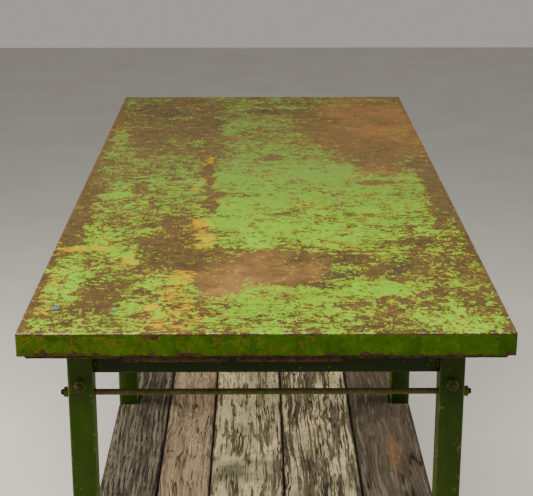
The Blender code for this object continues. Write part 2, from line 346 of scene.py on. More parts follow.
# ----------------------------------------------------------------- mesh helpers
def make_piece(name, points, faces, material, node, attributes):
    """A mesh object that rides on the bench and stands for one CAD node."""
    mesh = bpy.data.meshes.new(name)
    mesh.from_pydata([tuple(p) for p in points], [], [tuple(f) for f in faces])
    mesh.validate()
    for key, values in attributes.items():
        layer = mesh.attributes.new(key, "FLOAT", "POINT")
        layer.data.foreach_set("value", np.asarray(values, dtype=np.float32))
    mesh.shade_smooth()
    mesh.set_sharp_from_angle(angle=math.radians(50))
    mesh.materials.append(material)
    piece = bpy.data.objects.new(name, mesh)
    bpy.context.scene.collection.objects.link(piece)
    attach(piece, BODY)
    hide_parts(node)
    return piece


def bridge(ring_a, ring_b):
    """Faces between two rings of vertex numbers; a repeated vertex leaves a triangle."""
    count = len(ring_a)
    faces = []
    for k in range(count):
        n = (k + 1) % count
        corners = [ring_a[k], ring_a[n], ring_b[n], ring_b[k]]
        faces.append([c for i, c in enumerate(corners) if c != corners[i - 1]])
    return faces


def skin(rings, sides, closed=True):
    """Faces along a stack of rings, numbered in order; closed joins the last to the first."""
    faces = []
    for j in range(rings if closed else rings - 1):
        n = (j + 1) % rings
        faces += bridge(range(j * sides, (j + 1) * sides), range(n * sides, (n + 1) * sides))
    return faces


def ring_at(centre, axis, u, v, level):
    """The points of one ring: u and v across the axis, level along it."""
    a, b, c = AXES[axis]
    ring = np.zeros((len(u), 3))
    ring[:, a] = u
    ring[:, b] = v
    ring[:, c] = level
    return ring + centre


def box_of(node):
    low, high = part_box(node)
    return np.array(low), np.array(high)


def centre_and_size(node):
    low, high = box_of(node)
    return (low + high) / 2, high - low


# --------------------------------------------------------- the worktop's paint
# Each patch: centre x, centre y, half width, half length, value.  Later patches
# are laid over earlier ones; their outlines are made ragged by a noise.
GREEN_LEFT = 0.50
GREEN_PATCHES = (
    (-0.24, 0.55, 0.16, 0.42, 0.30),
    (-0.16, 0.50, 0.05, 0.12, 0.10),
    (-0.28, 0.66, 0.05, 0.16, 0.26),
    (-0.35, 0.84, 0.05, 0.10, 0.62),
    (-0.345, 0.36, 0.030, 0.14, 0.68),
    (-0.33, 0.20, 0.035, 0.07, 0.60),
    (-0.24, 0.12, 0.09, 0.10, 0.46),
    (-0.18, 0.36, 0.05, 0.09, 0.42),
    (0.26, 0.50, 0.16, 0.36, 0.10),
    (0.24, 0.24, 0.14, 0.10, 0.12),
    (-0.01, 0.50, 0.09, 0.26, 0.60),
    (-0.05, 0.64, 0.06, 0.05, 0.78),
    (0.03, 0.70, 0.09, 0.035, 0.14),
    (-0.08, 0.80, 0.03, 0.08, 0.62),
    (0.05, 0.75, 0.05, 0.022, 0.78),
    (0.17, 0.78, 0.06, 0.05, 0.50),
    (0.33, 0.84, 0.05, 0.05, 0.50),
    (0.05, 0.22, 0.13, 0.10, 0.70),
    (0.00, 0.28, 0.06, 0.10, 0.80),
    (-0.24, -0.18, 0.10, 0.26, 0.62),
    (-0.30, -0.12, 0.03, 0.12, 0.88),
    (-0.23, 0.00, 0.06, 0.06, 0.76),
    (-0.25, -0.07, 0.025, 0.06, 0.22),
    (-0.29, -0.40, 0.06, 0.14, 0.66),
    (0.09, -0.16, 0.25, 0.33, 0.92),
    (0.04, 0.08, 0.17, 0.10, 0.93),
    (0.02, -0.06, 0.14, 0.16, 0.98),
    (0.00, -0.28, 0.10, 0.14, 0.97),
    (0.25, 0.06, 0.05, 0.05, 0.40),
    (0.30, 0.03, 0.03, 0.05, 0.80),
    (0.24, -0.02, 0.05, 0.015, 0.20),
    (0.26, 0.17, 0.07, 0.07, 0.16),
    (-0.365, -0.20, 0.024, 0.30, 0.08),
    (-0.35, 0.06, 0.03, 0.10, 0.40),
    (0.365, -0.02, 0.026, 0.30, 0.10),
    (0.345, -0.30, 0.02, 0.10, 0.30),
    (-0.165, -0.43, 0.055, 0.17, 0.14),
    (-0.12, 0.02, 0.012, 0.26, 0.12),
    (-0.105, -0.18, 0.018, 0.07, 0.02),
    (-0.14, -0.56, 0.09, 0.09, 0.20),
    (0.02, -0.60, 0.09, 0.10, 0.03),
    (-0.07, -0.67, 0.05, 0.07, 0.20),
    (0.27, -0.45, 0.04, 0.025, 0.06),
    (0.17, -0.58, 0.07, 0.10, 0.34),
    (0.28, -0.62, 0.09, 0.16, 0.36),
    (0.20, -0.49, 0.09, 0.04, 0.62),
    (0.17, -0.70, 0.07, 0.045, 0.88),
    (0.30, -0.82, 0.08, 0.08, 0.58),
    (0.34, -0.70, 0.04, 0.10, 0.48),
    (0.24, -0.76, 0.06, 0.03, 0.30),
    (0.03, -0.80, 0.11, 0.10, 0.90),
    (0.04, -0.72, 0.07, 0.05, 0.86),
    (0.10, -0.86, 0.12, 0.05, 0.66),
    (0.19, -0.82, 0.03, 0.06, 0.30),
    (-0.34, -0.63, 0.035, 0.14, 0.74),
    (-0.26, -0.60, 0.04, 0.07, 0.55),
    (-0.27, -0.76, 0.05, 0.045, 0.10),
    (-0.23, -0.79, 0.02, 0.04, 0.90),
    (-0.34, -0.82, 0.04, 0.08, 0.55),
    (-0.18, -0.66, 0.05, 0.06, 0.52),
    (-0.15, -0.80, 0.06, 0.09, 0.40),
    (-0.383, 0.00, 0.014, 1.10, 0.10),
    (0.384, 0.00, 0.012, 1.10, 0.12),
)
YELLOW_PATCHES = (
    (-0.125, -0.33, 0.030, 0.035, 0.85),
    (-0.110, -0.43, 0.022, 0.06, 0.70),
    (-0.130, -0.04, 0.008, 0.06, 0.70),
    (-0.130, 0.17, 0.010, 0.05, 0.45),
    (-0.320, -0.48, 0.055, 0.022, 0.72),
    (-0.300, -0.42, 0.030, 0.05, 0.34),
    (-0.235, -0.54, 0.014, 0.06, 0.62),
    (-0.140, -0.65, 0.030, 0.04, 0.75),
    (-0.150, -0.74, 0.028, 0.08, 0.48),
    (-0.190, -0.785, 0.014, 0.016, 0.90),
    (-0.140, -0.85, 0.070, 0.05, 0.42),
    (-0.350, -0.70, 0.016, 0.18, 0.34),
    (0.020, -0.40, 0.050, 0.05, 0.14),
    (0.090, -0.18, 0.020, 0.03, 0.34),
    (-0.350, 0.42, 0.016, 0.16, 0.30),
    (-0.040, 0.81, 0.030, 0.03, 0.30),
)
ORANGE_PATCHES = (
    (0.28, 0.58, 0.16, 0.34, 1.00),
    (0.18, 0.30, 0.12, 0.16, 0.40),
    (0.02, -0.60, 0.10, 0.12, 0.95),
    (-0.07, -0.67, 0.06, 0.08, 0.95),
    (0.10, 0.02, 0.12, 0.10, 0.45),
    (0.24, 0.05, 0.10, 0.10, 0.60),
    (0.02, 0.40, 0.12, 0.30, 0.35),
)
DARK_PATCHES = (
    (0.130, -0.625, 0.035, 0.05, 0.85),
    (0.105, -0.53, 0.015, 0.015, 0.70),
    (0.215, -0.615, 0.025, 0.03, 0.80),
    (0.245, -0.565, 0.030, 0.03, 0.65),
    (0.110, -0.69, 0.020, 0.03, 0.60),
    (-0.180, 0.36, 0.020, 0.05, 0.55),
    (-0.150, 0.55, 0.050, 0.16, 0.35),
    (-0.270, 0.70, 0.080, 0.16, 0.45),
    (-0.060, -0.56, 0.050, 0.04, 0.25),
    (0.030, 0.70, 0.070, 0.03, 0.40),
)

# On the near lip: centre x, centre z, half width, half height, value.
LIP_CHIPS = (
    (-0.335, 0.828, 0.022, 0.006, 0.36),
    (-0.368, 0.852, 0.014, 0.004, 0.28),
    (-0.285, 0.827, 0.018, 0.006, 0.34),
    (-0.212, 0.843, 0.014, 0.006, 0.32),
    (-0.178, 0.852, 0.022, 0.004, 0.30),
    (-0.120, 0.826, 0.016, 0.005, 0.30),
    (-0.048, 0.828, 0.010, 0.005, 0.28),
    (0.015, 0.834, 0.030, 0.005, 0.17),
    (0.060, 0.846, 0.008, 0.008, 0.14),
    (0.155, 0.826, 0.018, 0.004, 0.22),
    (0.345, 0.850, 0.018, 0.004, 0.26),
    (0.372, 0.832, 0.008, 0.012, 0.22),
)


def patch_field(x, y, base, patches, seed, wander=0.045, waves=16.0):
    """Lay soft, ragged-edged ellipses of given values over a base value."""
    wx = x + wander * 1.3 * fractal(x * waves, y * waves, seed, 5, 0.65)
    wy = y + wander * fractal(x * waves, y * waves, seed + 50, 5, 0.65)
    field = np.full_like(x, base)
    for cx, cy, half_width, half_length, value in patches:
        away = np.sqrt(((wx - cx) / half_width) ** 2 + ((wy - cy) / half_length) ** 2)
        cover = 1 - smoothstep(0.55, 1.35, away)
        field = field + (value - field) * cover
    return field


def paint_wear(m, across, lengthwise):
    """Below zero where the green paint is left, above it where the paint is gone."""
    cover = m.remap(m.attribute("cover"), 0.0, 1.0, 0.08, 0.93)
    # islands broken up by fine chips, a little longer across the bench
    flakes = m.weighted((m.noise(24.0, 8.0, 0.66, 0.5, across), 0.26),
                        (m.noise(88.0, 6.0, 0.66, 0.6, lengthwise), 0.40),
                        (m.noise(190.0, 5.0, 0.70, 0.4, lengthwise), 0.34))
    wear = m.sub(m.remap(flakes, 0.40, 0.60), cover)
    wide_veins = m.mul(m.veins(26.0, 0.040, (0.42, 1.0, 1.0)),
                       m.step(m.noise(11.0, 5.0), 0.44, 0.56))
    thin_veins = m.mul(m.veins(64.0, 0.070, (0.36, 1.0, 1.0)),
                       m.step(m.noise(19.0, 5.0), 0.42, 0.54))
    specks = m.step(m.noise(180.0, 5.0, 0.72, 0.0, lengthwise), 0.57, 0.61)
    scores = m.veins(15.0, 0.012, (1.0, 0.55, 1.0), 3.0, 2.5)
    for marks, share in ((wide_veins, 0.46), (thin_veins, 0.44), (specks, 0.34), (scores, 0.50)):
        wear = m.add(wear, m.mul(marks, share))
    return wear


def top_green(m, wear, away, lengthwise):
    """Green, thinner and yellower towards the edges of a flake."""
    tone = m.noise(5.0, 6.0, 0.6, 0.3)
    green = m.mix(m.remap(tone, 0.35, 0.65), TOP_GREEN_DEEP, TOP_GREEN)
    # painted reflection: the green turns greyer and bluer towards the far end, a painted sheen
    green = m.lay(green, m.step(away, -0.55, 0.20), 0.88, TOP_GREEN_SHEENED)
    thin_gate = m.step(m.noise(14.0, 5.0), 0.42, 0.56)
    thin = m.mul(m.step(wear, -0.14, -0.04), m.add(m.mul(thin_gate, 0.75), 0.15))
    green = m.mix(m.mul(thin, m.step(away, 0.30, -0.40)), green, TOP_GREEN_THIN)
    soil = m.step(m.noise(120.0, 7.0, 0.75, 0.3, lengthwise), 0.53, 0.62)
    green = m.lay(green, soil, 0.50, TOP_GREEN_DIRTY)
    return m.lay(green, m.spot(*TEAL_SPOT, 0.5), 0.45, TEAL)


def bare_steel(m, rust_tone, away, across, lengthwise):
    """Brown, with orange in places and near black in others."""
    rust = m.mix(rust_tone, RUST_DEEP, RUST)
    # painted reflection: the rust turns paler and bluer towards the far end, a painted sheen
    rust = m.mix(m.step(away, -0.60, 0.30), rust, m.mix(rust_tone, RUST_DEEP_SHEENED, RUST_SHEENED))
    orange_gate = m.mul(m.attribute("orange"), m.remap(m.noise(9.0, 6.0, 0.6), 0.28, 0.55))
    rust = m.mix(m.math("MINIMUM", orange_gate, 1.0), rust, m.mix(rust_tone, ORANGE_DEEP, ORANGE))
    dark_noise = m.remap(m.noise(66.0, 8.0, 0.68, 0.4, across), 0.34, 0.66)
    dark_mask = m.step(m.sub(dark_noise, m.attribute("dark")), 0.03, -0.03)
    rust = m.lay(rust, dark_mask, 0.70, NEAR_BLACK)
    dust = m.step(m.noise(170.0, 5.0, 0.7, 0.0, lengthwise), 0.57, 0.66)
    return m.lay(rust, dust, 0.42, RUST_DUST)


def undercoat(m, rust, wear, away, across):
    """Yellow undercoat on the bare steel, in patches and as a fringe round the green."""
    noise = m.weighted((m.noise(62.0, 6.0, 0.70, 0.4, across), 0.45),
                       (m.noise(190.0, 5.0, 0.72, 0.4, across), 0.55))
    field = m.mul(m.attribute("yellow"), 1.04)
    mask = m.step(m.sub(m.remap(noise, 0.40, 0.60), field), 0.012, -0.012)
    yellow = m.mix(m.remap(m.noise(40.0, 4.0), 0.4, 0.6), YELLOW, YELLOW_DULL)
    fringe_gate = m.mul(m.step(m.noise(13.0, 4.0), 0.44, 0.58),
                        m.remap(m.step(away, 0.20, -0.50), 0.0, 1.0, 0.3, 0.9))
    fringe = m.mul(m.step(wear, 0.12, 0.04), fringe_gate)
    return m.mix(fringe, m.mix(mask, rust, yellow), FRINGE), mask


def lip_paint(m, rust_tone):
    """The lip: deeper green, chipped, with a ragged rusty lower edge."""
    drop = m.attribute("drop")
    x = m.separate(m.position, "X")
    leftward = m.mul(x, -0.09)
    noise = m.weighted((m.noise(22.0, 8.0, 0.68, 0.5), 0.40), (m.noise(95.0, 7.0, 0.72, 0.6), 0.60))
    wear = m.add(m.add(m.remap(noise, 0.37, 0.63), leftward), m.attribute("chip"))
    chipped = m.step(wear, 0.825, 0.85)
    low_edge = m.step(m.add(drop, m.mul(m.sub(wear, 0.5), 0.016)), 0.0350, 0.0370)
    high_edge = m.step(m.sub(drop, m.mul(wear, 0.006)), 0.0010, 0.0)
    worn = m.math("MAXIMUM", m.math("MAXIMUM", chipped, low_edge), high_edge)
    smudge = m.step(m.noise(17.0, 5.0, 0.62, 0.8, m.place((1.0, 1.0, 0.6))), 0.50, 0.60)
    mottle = m.step(m.noise(100.0, 6.0, 0.72, 0.5), 0.52, 0.62)
    corner = m.step(x, 0.335, 0.385)
    left_fade = m.step(m.add(m.noise(60.0, 7.0, 0.72, 0.4), m.mul(leftward, 2.0)), 0.50, 0.62)
    yellow = m.mul(m.sub(m.step(wear, 0.77, 0.80), chipped), m.step(m.noise(9.0, 4.0), 0.44, 0.52))
    green = m.mix(m.step(m.noise(38.0, 6.0, 0.66, 0.5), 0.48, 0.60), LIP_GREEN, LIP_BRIGHT)
    for mask, share, colour in ((smudge, 0.62, LIP_GREEN_DEEP), (mottle, 0.62, LIP_GREEN_DEEP),
                                (corner, 0.65, LIP_GREEN_DEEP), (left_fade, 0.55, LIP_FADED),
                                (yellow, 0.85, LIP_YELLOW)):
        green = m.lay(green, mask, share, colour)
    return m.mix(worn, green, m.mix(rust_tone, LIP_RUST_DEEP, LIP_RUST)), worn


def worktop_paint():
    m = Material("worktop_paint")
    away = m.separate(m.position, "Y")
    across = m.place((0.60, 1.0, 1.0))
    lengthwise = m.place((0.90, 0.62, 1.0))
    wear = paint_wear(m, across, lengthwise)
    green_mask = m.step(wear, 0.008, -0.008)
    rust_noise = m.noise(58.0, 9.0, 0.74, 0.4, m.place((0.75, 0.70, 1.0)))
    rust_tone = m.remap(rust_noise, 0.34, 0.66)
    rust = bare_steel(m, rust_tone, away, across, lengthwise)
    under, yellow_mask = undercoat(m, rust, wear, away, across)
    top = m.mix(green_mask, under, top_green(m, wear, away, lengthwise))
    for centre, radius in BLUE_SPOTS:
        top = m.mix(m.spot(centre, radius), top, BLUE)
    lip_colour, lip_worn = lip_paint(m, rust_tone)
    lip = m.attribute("lip")
    colour = m.mix(lip, top, lip_colour)
    painted = m.add(m.mul(green_mask, m.sub(1.0, lip)), m.mul(m.sub(1.0, lip_worn), lip))

    # bare metal rubbed bright along the fold, also a painted highlight: a thin bright line,
    # strongest on the near fold
    arris = m.attribute("arris")
    rub_and_glint = m.step(m.add(m.noise(40.0, 8.0, 0.74), m.mul(arris, 0.30)), 0.70, 0.78)
    rub_and_glint = m.mul(rub_and_glint, m.step(arris, 0.35, 0.75))
    colour = m.lay(colour, rub_and_glint, 0.95, BARE_METAL_AND_GLINT)

    roughness = m.remap(painted, 0.0, 1.0, 0.74, 0.52)
    roughness = m.add(roughness, m.mul(m.mul(yellow_mask, m.sub(1.0, painted)), 0.20))
    roughness = m.add(roughness, m.mul(m.sub(m.noise(90.0, 5.0), 0.5), 0.20))
    height = m.weighted((painted, 0.00026), (m.noise(420.0, 5.0, 0.7), 0.00012),
                        (m.mul(m.sub(1.0, painted), rust_noise), 0.00026))
    return m.finish(colour, roughness, m.bump(height, 0.9), metallic=m.mul(rub_and_glint, 0.2),
                    specular=0.12)


def sheet_field(low, high):
    """The flat field as a fine grid, with shallow dents; its points, faces and counts."""
    nx = int(round((high[0] - low[0] - 2 * SHEET_FOLD) / SHEET_CELL))
    ny = int(round((high[1] - low[1] - 2 * SHEET_FOLD) / SHEET_CELL))
    xs = np.linspace(low[0] + SHEET_FOLD, high[0] - SHEET_FOLD, nx + 1)
    ys = np.linspace(low[1] + SHEET_FOLD, high[1] - SHEET_FOLD, ny + 1)
    gx, gy = np.meshgrid(xs, ys)
    edge_away = np.minimum.reduce([gx - xs[0], xs[-1] - gx, gy - ys[0], ys[-1] - gy])
    dents = 0.0004 * smoothstep(0.0, 0.05, edge_away) * (0.5 + fractal(gx * 6, gy * 6, 3, 3))
    points = np.stack([gx.ravel(), gy.ravel(), (high[2] - dents).ravel()], axis=1)
    faces = []
    for j in range(ny):
        for i in range(nx):
            a = j * (nx + 1) + i
            faces.append((a, a + 1, a + nx + 2, a + nx + 1))
    return points, faces, nx, ny


def sheet_edge_walk(nx, ny):
    """The way round the field: grid vertex and outward angle; corners turn in steps."""
    row = nx + 1
    sides = (
        (list(range(row)), -90),
        ([j * row + nx for j in range(ny + 1)], 0),
        ([ny * row + i for i in range(nx, -1, -1)], 90),
        ([j * row for j in range(ny, -1, -1)], 180),
    )
    walk = []
    for side, angle in sides:
        walk += [(vertex, angle) for vertex in side]
        walk += [(side[-1], angle + turn) for turn in (22.5, 45.0, 67.5)]
    return walk


def sheet_edge_profile(depth):
    """From the field over the fold, down the lip and up inside: out, down, share of the lip."""
    profile = []
    for k in range(1, 6):
        angle = math.radians(90 * k / 5)
        profile.append((SHEET_FOLD * math.sin(angle), SHEET_FOLD * (1 - math.cos(angle)), 0.0))
    for k in range(1, 9):
        share = k / 8
        profile.append((SHEET_FOLD, SHEET_FOLD + (depth - SHEET_FOLD) * share, share))
    inside = SHEET_FOLD - SHEET_GAUGE
    profile.append((SHEET_FOLD - 0.3 * SHEET_GAUGE, depth, 1.0))
    profile.append((inside, depth - 0.0004, 1.0))
    for k in range(1, 4):
        share = 1 - k / 3
        profile.append((inside, SHEET_GAUGE + (depth - SHEET_GAUGE) * share, share))
    return profile


def build_worktop(material):
    """The folded sheet: a fine flat field, rolled folds, lips, and the inside."""
    low, high = box_of("top_sheet")
    field, faces, nx, ny = sheet_field(low, high)
    walk = sheet_edge_walk(nx, ny)
    start_ring = [vertex for vertex, _ in walk]
    base = field[start_ring]
    turn = np.radians([angle for _, angle in walk])
    outward = np.stack([np.cos(turn), np.sin(turn)], axis=1)
    travel = np.cumsum(np.r_[0.0, np.hypot(*np.diff(base[:, :2], axis=0).T)])
    ragged = 0.0016 * smoothstep(-0.05, 0.35, fractal(travel * 55, travel * 0, 21, 4, 0.6))
    ragged += 0.0008 * (0.5 + fractal(travel * 260, travel * 0, 29, 2))
    wave = 0.0006 * (0.5 + fractal(travel * 7, travel * 0, 33, 3))

    count = len(walk)
    points = [field]
    rings = [start_ring]
    lip = [np.zeros(len(field))]
    drop = [np.zeros(len(field))]
    arris = [np.zeros(len(field))]
    for number, (out, down, share) in enumerate(sheet_edge_profile(high[2] - low[2])):
        start = len(field) + number * count
        xy = base[:, :2] + outward * (out - wave * share * share)[:, None]
        points.append(np.column_stack([xy, high[2] - down + ragged * (share > 0.93)]))
        rings.append(list(range(start, start + count)))
        lip.append(np.full(count, 1.0 if down >= SHEET_FOLD * 0.9 else 0.0))
        drop.append(np.full(count, down))
        # arris peaks part way round the fold and is fullest on the near fold, where the painted
        # highlight lies
        turned = down / SHEET_FOLD if share == 0 else 2.0
        bright = max(0.0, 1.0 - abs(turned - 0.25) / 0.30)
        arris.append(np.where(base[:, 1] < low[1] + 0.01, bright, 0.45 * bright))
    for ring_a, ring_b in zip(rings, rings[1:]):
        faces += bridge(ring_b, ring_a)
    faces.append(list(reversed(rings[-1])))

    points = np.concatenate(points)
    x, y, z = points.T
    # paint is rubbed away along the two long folds, most on the left
    ragged_edge = 0.012 * fractal(x * 20, y * 20, 606, 4, 0.6)
    left_margin = 0.3 + 0.7 * smoothstep(0.003, 0.019, x - low[0] + ragged_edge)
    right_margin = 0.3 + 0.7 * smoothstep(0.001, 0.010, high[0] - x + ragged_edge)
    attributes = {
        "cover": patch_field(x, y, GREEN_LEFT, GREEN_PATCHES, 101) * left_margin * right_margin,
        "yellow": patch_field(x, y, 0.04, YELLOW_PATCHES, 202),
        "orange": patch_field(x, y, 0.15, ORANGE_PATCHES, 303),
        "dark": patch_field(x, y, 0.04, DARK_PATCHES, 404),
        "chip": patch_field(x, z, 0.0, LIP_CHIPS, 505, 0.004, 90.0) * (y < low[1] + 0.004),
        "lip": np.concatenate(lip),
        "drop": np.concatenate(drop),
        "arris": np.concatenate(arris),
    }
    make_piece("worktop_sheet", points, faces, material, "top_sheet", attributes)


# ----------------------------------------------------------------------- timber
def grain_lines(m, bent, shift, figure):
    """Broad and thin dark grain lines, and the gate that breaks them up."""
    gate_noise = m.noise(30.0, 5.0, 0.6, 0.0, m.along(0.3, shift))
    gate = m.step(gate_noise, 0.42, 0.58)
    lines = m.contour(70.0, 0.060, m.along(0.035, bent))
    lines = m.mul(lines, m.add(m.mul(gate, 0.7), 0.3))
    thin = m.contour(200.0, 0.085, m.along(0.026, bent))
    thin = m.mul(thin, m.add(m.mul(gate, -0.5), 0.9))
    if figure:
        waves = m.node("ShaderNodeTexWave", bands_direction="X")
        m.feed(waves.inputs["Vector"], m.along(0.30, bent))
        waves.inputs["Scale"].default_value = 34.0
        waves.inputs["Distortion"].default_value = 13.0
        waves.inputs["Detail"].default_value = 2.0
        waves.inputs["Detail Scale"].default_value = 0.22
        ring_gate = m.step(m.noise(24.0, 6.0, 0.66), 0.40, 0.58)
        rings = m.mul(m.step(waves.outputs["Fac"], 0.60, 0.90), ring_gate)
        lines = m.math("MAXIMUM", lines, rings)
    return lines, thin, gate


def old_coat(m, bent, lines, thin, coat, amount):
    """Remains of old paint between the grain lines: where they are, and their colour."""
    chips = m.weighted(
        (m.noise(15.0, 5.0, 0.60, 0.8, m.along(0.30, bent)), 0.26),
        (m.noise(100.0, 4.0, 0.54, 0.2, m.along(0.050, bent)), 0.38),
        (m.noise(250.0, 4.0, 0.54, 0.2, m.along(0.026, bent)), 0.36))
    worn = m.add(m.remap(chips, 0.40, 0.60), m.mul(lines, 0.35))
    worn = m.sub(m.add(worn, m.mul(thin, 0.16)), amount)
    tint = m.mix(m.remap(m.noise(9.0, 5.0), 0.48, 0.70), coat, OLD_PAINT_GREY)
    moss = m.step(m.noise(130.0, 6.0, 0.7, 0.0, m.place((1, 0.25, 1))), 0.52, 0.62)
    return m.step(worn, 0.05, -0.05), m.mix(m.mul(moss, 0.35), tint, OLD_PAINT_MOSS)


def stain_mask(m, centre, reach):
    """1 inside a ragged elongated stain."""
    local = m.place((1, 1, 1), [-c for c in centre], source=m.noise_vector(14.0, 0.05))
    away = m.vector("LENGTH", m.place([1 / r for r in reach], source=local))
    return m.mul(m.step(away, 1.0, 0.45), m.step(m.noise(160.0, 6.0, 0.7, 0.3), 0.40, 0.56))


def plank_wood(name, pale, mid, deep, seed, coat=None, coat_amount=0.0, stain=None,
               figure=False):
    """Weathered timber: raised grain along Y, checks, dirt and remains of old paint."""
    m = Material(name)
    shift = m.place((1, 1, 1), (seed * 0.37, seed * 0.73, seed * 0.19))
    bent = m.noise_vector(4.0, 0.030, shift)
    # broad tone, then fibres, then crisp dark grain lines of two widths
    bands = m.noise(70.0, 5.0, 0.60, 0.5, m.along(0.040, bent))
    cloud = m.noise(16.0, 6.0, 0.60, 1.0, m.along(0.22, bent))
    fibre = m.noise(560.0, 3.0, 0.55, 0.0, m.along(0.014, bent))
    lines, thin, gate = grain_lines(m, bent, shift, figure)
    colour = m.mix(m.remap(bands, 0.36, 0.64), mid, pale)
    for mask, share in ((m.remap(cloud, 0.50, 0.66), 0.60), (m.step(fibre, 0.50, 0.66), 0.42),
                        (lines, 0.92), (thin, 0.74)):
        colour = m.lay(colour, mask, share, deep)
    height = m.weighted((lines, -0.0007), (fibre, -0.0004))
    height = m.sub(height, m.mul(thin, 0.0003))
    if coat is not None:
        cover, tint = old_coat(m, bent, lines, thin, coat, coat_amount)
        colour = m.lay(colour, cover, 0.94, tint)
        split = m.contour(120.0, 0.060, m.along(0.040, bent))
        colour = m.lay(colour, m.mul(split, gate), 0.60, deep)
        height = m.add(height, m.mul(cover, 0.0004))
    else:
        flecks = m.noise(150.0, 3.0, 0.50, 0.3, m.along(0.035, bent))
        fleck_colour = m.mix(0.5, pale, PALE_FLECK)
        colour = m.lay(colour, m.step(flecks, 0.56, 0.64), 0.45, fleck_colour)
    dirt = m.step(m.noise(14.0, 7.0, 0.66, 0.5), 0.54, 0.68)
    colour = m.lay(colour, dirt, 0.38, WOOD_DIRT)
    if stain is not None:
        centre, reach, tone = stain
        colour = m.lay(colour, stain_mask(m, centre, reach), 0.75, tone)
    # the long joints are darkened by dirt and painted shade
    colour = m.lay(colour, m.attribute("seam_dirt_and_shade"), 0.85, WOOD_CRACK)
    colour = m.lay(colour, m.attribute("crack"), 0.90, WOOD_CRACK)
    rings = m.noise(95.0, 4.0, 0.6, 0.6, m.place((1.0, 1.0, 1.6), source=shift))
    end_colour = m.mix(m.remap(rings, 0.38, 0.62), deep, mid)
    colour = m.lay(colour, m.attribute("end"), 0.9, end_colour)
    roughness = m.add(0.84, m.mul(m.sub(bands, 0.5), 0.15))
    return m.finish(colour, roughness, m.bump(height, 0.9), specular=0.2)


def plank_section(low, high, cell):
    """The section walked round from the upper right: x, z and the outward direction."""
    right = high[0] - PLANK_RADIUS
    left = low[0] + PLANK_RADIUS
    upper = high[2] - PLANK_RADIUS
    lower = low[2] + PLANK_RADIUS
    corners = ((right, upper), (left, upper), (left, lower), (right, lower))
    normals = ((0, 1), (-1, 0), (0, -1), (1, 0))
    across = max(4, int(round((right - left) / cell)))
    section = []
    for index, (cx, cz) in enumerate(corners):
        for k in range(5):
            angle = math.radians(90 * index + 90 * k / 4)
            section.append((cx + PLANK_RADIUS * math.cos(angle),
                            cz + PLANK_RADIUS * math.sin(angle),
                            math.cos(angle), math.sin(angle)))
        out = normals[index]
        x0, z0 = section[-1][:2]
        x1 = corners[(index + 1) % 4][0] + PLANK_RADIUS * out[0]
        z1 = corners[(index + 1) % 4][1] + PLANK_RADIUS * out[1]
        steps = across if index in (0, 2) else 5
        for k in range(1, steps):
            share = k / steps
            section.append((x0 + (x1 - x0) * share, z0 + (z1 - z0) * share, *out))
    return np.array(section).T


def plank_relief(px, py, pz, ax, az, seed, wear, relief):
    """How far the surface is worn in: grain, drying cracks and chipped corners."""
    # the grain runs along the board and bends a little
    bend = 0.012 * fractal(py * 2.2, px * 6, seed, 3)
    coord = np.where(np.abs(az) > 0.5, px, pz) + bend
    grain = fractal(coord * 190, py * 4.0, seed + 7, 3, 0.6)
    broad = fractal(coord * 32, py * 1.6, seed + 11, 3)
    push = relief * (0.5 + grain) + 0.0008 * (0.5 + broad)
    crack_line = np.abs(fractal(coord * 24, py * 1.1, seed + 17, 2, 0.5))
    gate = smoothstep(0.10, 0.22, fractal(coord * 6 + 3, py * 1.7, seed + 23, 2))
    crack = (1 - smoothstep(0.004, 0.016, crack_line)) * gate
    # the narrow sides stay straight, so that planks side by side leave no open gap
    push = (push + 0.0018 * crack) * np.abs(az)
    corner = smoothstep(0.15, 0.7, np.abs(ax)) * smoothstep(0.15, 0.7, np.abs(az))
    chips = smoothstep(0.0, 0.4, fractal(py * 22, px * 9, seed + 31, 3))
    return push + wear * corner * (0.7 + 1.6 * chips), crack


